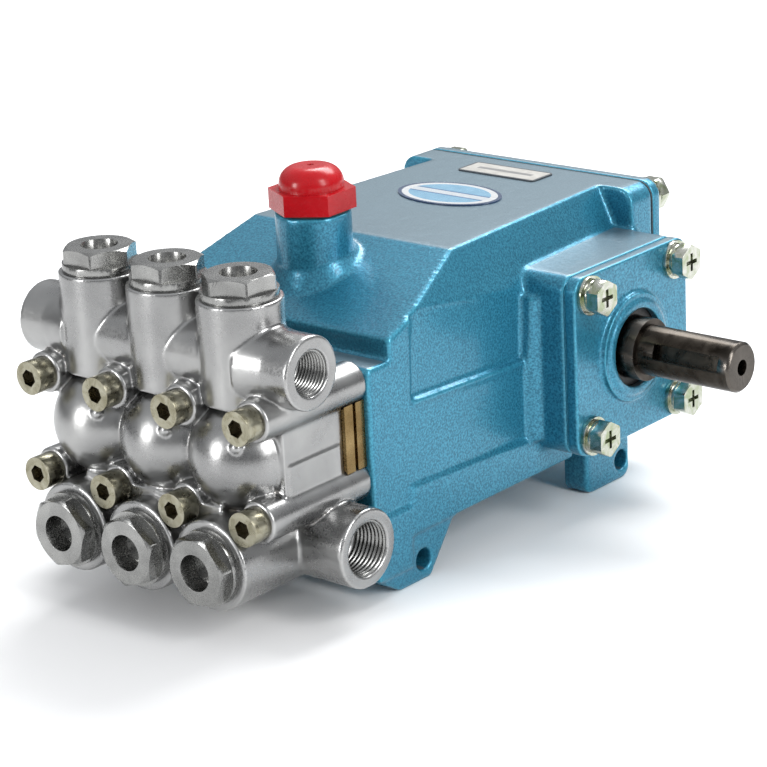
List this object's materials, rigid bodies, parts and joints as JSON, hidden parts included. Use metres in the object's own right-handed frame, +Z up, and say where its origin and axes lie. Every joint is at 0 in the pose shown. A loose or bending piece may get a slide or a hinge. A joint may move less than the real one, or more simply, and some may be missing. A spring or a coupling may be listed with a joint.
{
  "type": "pressure washer pump",
  "caption": "Crankshaft-driven plunger pump: oil-filled crankcase with a through drive shaft, bolted water manifold with valve plugs and threaded inlet and outlet ports.",
  "frame": {"origin": "centre of the pump's bounding box in plan, at the bottom of the feet", "axes": "+X along the crankshaft toward the visible drive end, -Y toward the water manifold, +Z up"},
  "size_m": [0.268, 0.2671, 0.1512],
  "materials": {
    "blue_paint": "speckled metallic blue paint over cast aluminium, clear gloss",
    "nickel_casting": "bright nickel plating over cast brass, slightly grainy",
    "nickel_plug": "satin nickel plating over machined brass",
    "brass": "machined brass, dulled",
    "red_cap": "glossy red plastic",
    "zinc_olive": "olive-gold zinc-plated steel",
    "zinc_bright": "bright zinc-plated steel with a yellow-green tint",
    "shaft_steel": "dark oiled steel",
    "forged_steel": "plain forged and machined steel",
    "bearing_steel": "polished bearing steel",
    "stainless": "stainless steel",
    "ceramic_white": "polished white ceramic",
    "black_rubber": "black rubber",
    "gasket_grey": "dark gasket sheet",
    "clear_glass": "clear window with oil behind it",
    "badge_blue": "printed badge with a white rim",
    "label_white": "off-white printed label"
  },
  "bodies": {
    "pump_case": {"crankcase": "blue_paint", "rear_cover": "blue_paint", "rear_cover_seal": "gasket_grey", "rear_cover_screws": "zinc_bright", "sight_glass": "clear_glass", "drain_plug": "zinc_olive", "bearing_cover_left": "blue_paint", "bearing_cover_right": "blue_paint", "bearing_cover_seals": "blue_paint", "bearing_cover_screws": "zinc_bright", "bearing_outer_rings": "bearing_steel", "shaft_seals": "black_rubber", "plunger_oil_seals": "black_rubber", "seal_case": "brass", "low_pressure_seals": "black_rubber", "high_pressure_seals": "black_rubber", "manifold": "nickel_casting", "manifold_screws": "zinc_olive", "discharge_valve_plugs": "nickel_plug", "inlet_valve_plugs": "nickel_plug", "valve_plug_seals": "black_rubber", "valve_seats": "stainless", "discharge_valve_springs": "stainless", "inlet_valve_springs": "stainless", "badge": "badge_blue", "label_plate": "label_white"},
    "crank": {"crankshaft": "shaft_steel", "bearing_inner_rings": "bearing_steel", "bearing_balls": "bearing_steel"},
    "rod_1": {"connecting_rod_1": "forged_steel", "rod_cap_1": "forged_steel", "rod_bolts_1": "zinc_bright", "wrist_pin_1": "bearing_steel"},
    "rod_2": {"connecting_rod_2": "forged_steel", "rod_cap_2": "forged_steel", "rod_bolts_2": "zinc_bright", "wrist_pin_2": "bearing_steel"},
    "rod_3": {"connecting_rod_3": "forged_steel", "rod_cap_3": "forged_steel", "rod_bolts_3": "zinc_bright", "wrist_pin_3": "bearing_steel"},
    "plunger_set_1": {"plunger_rod_1": "stainless", "plunger_1": "ceramic_white", "plunger_retainer_1": "stainless"},
    "plunger_set_2": {"plunger_rod_2": "stainless", "plunger_2": "ceramic_white", "plunger_retainer_2": "stainless"},
    "plunger_set_3": {"plunger_rod_3": "stainless", "plunger_3": "ceramic_white", "plunger_retainer_3": "stainless"},
    "discharge_poppet_1": {"discharge_valve_1": "stainless"},
    "discharge_poppet_2": {"discharge_valve_2": "stainless"},
    "discharge_poppet_3": {"discharge_valve_3": "stainless"},
    "inlet_poppet_1": {"inlet_valve_1": "stainless"},
    "inlet_poppet_2": {"inlet_valve_2": "stainless"},
    "inlet_poppet_3": {"inlet_valve_3": "stainless"},
    "filler_cap": {"oil_cap": "red_cap", "oil_cap_seal": "black_rubber"}
  },
  "joints": [
    {"name": "crankshaft_spin", "type": "hinge", "parent": "pump_case", "child": "crank", "pos_m": [0, 0.07165, 0.067], "axis": [1, 0, 0], "continuous": true},
    {"name": "rod_1_swing", "type": "hinge", "parent": "crank", "child": "rod_1", "pos_m": [-0.035, 0.08065, 0.067], "axis": [1, 0, 0], "continuous": true},
    {"name": "rod_2_swing", "type": "hinge", "parent": "crank", "child": "rod_2", "pos_m": [0, 0.06715, 0.07479], "axis": [1, 0, 0], "continuous": true},
    {"name": "rod_3_swing", "type": "hinge", "parent": "crank", "child": "rod_3", "pos_m": [0.035, 0.06715, 0.05921], "axis": [1, 0, 0], "continuous": true},
    {"name": "plunger_1_stroke", "type": "slide", "parent": "pump_case", "child": "plunger_set_1", "axis": [0, -1, 0], "range_m": [0, 0.018]},
    {"name": "plunger_2_stroke", "type": "slide", "parent": "pump_case", "child": "plunger_set_2", "axis": [0, -1, 0], "range_m": [-0.01297, 0.00503]},
    {"name": "plunger_3_stroke", "type": "slide", "parent": "pump_case", "child": "plunger_set_3", "axis": [0, -1, 0], "range_m": [-0.01297, 0.00503]},
    {"name": "discharge_valve_1_lift", "type": "slide", "parent": "pump_case", "child": "discharge_poppet_1", "axis": [0, 0, 1], "range_m": [0, 0.0025], "stiffness_N_per_m": 400, "springref_m": -0.005, "deforming": ["discharge_valve_springs"]},
    {"name": "discharge_valve_2_lift", "type": "slide", "parent": "pump_case", "child": "discharge_poppet_2", "axis": [0, 0, 1], "range_m": [0, 0.0025], "stiffness_N_per_m": 400, "springref_m": -0.005, "deforming": ["discharge_valve_springs"]},
    {"name": "discharge_valve_3_lift", "type": "slide", "parent": "pump_case", "child": "discharge_poppet_3", "axis": [0, 0, 1], "range_m": [0, 0.0025], "stiffness_N_per_m": 400, "springref_m": -0.005, "deforming": ["discharge_valve_springs"]},
    {"name": "inlet_valve_1_lift", "type": "slide", "parent": "pump_case", "child": "inlet_poppet_1", "axis": [0, -1, 0], "range_m": [0, 0.0025], "stiffness_N_per_m": 400, "springref_m": -0.005, "deforming": ["inlet_valve_springs"]},
    {"name": "inlet_valve_2_lift", "type": "slide", "parent": "pump_case", "child": "inlet_poppet_2", "axis": [0, -1, 0], "range_m": [0, 0.0025], "stiffness_N_per_m": 400, "springref_m": -0.005, "deforming": ["inlet_valve_springs"]},
    {"name": "inlet_valve_3_lift", "type": "slide", "parent": "pump_case", "child": "inlet_poppet_3", "axis": [0, -1, 0], "range_m": [0, 0.0025], "stiffness_N_per_m": 400, "springref_m": -0.005, "deforming": ["inlet_valve_springs"]},
    {"name": "filler_cap_lift", "type": "slide", "parent": "pump_case", "child": "filler_cap", "axis": [0, 0, 1], "range_m": [0, 0.04]}
  ],
  "couplings": [
    {"joint": "rod_1_swing", "follows": "crankshaft_spin", "ratio": -1},
    {"joint": "rod_2_swing", "follows": "crankshaft_spin", "ratio": -1},
    {"joint": "rod_3_swing", "follows": "crankshaft_spin", "ratio": -1}
  ]
}
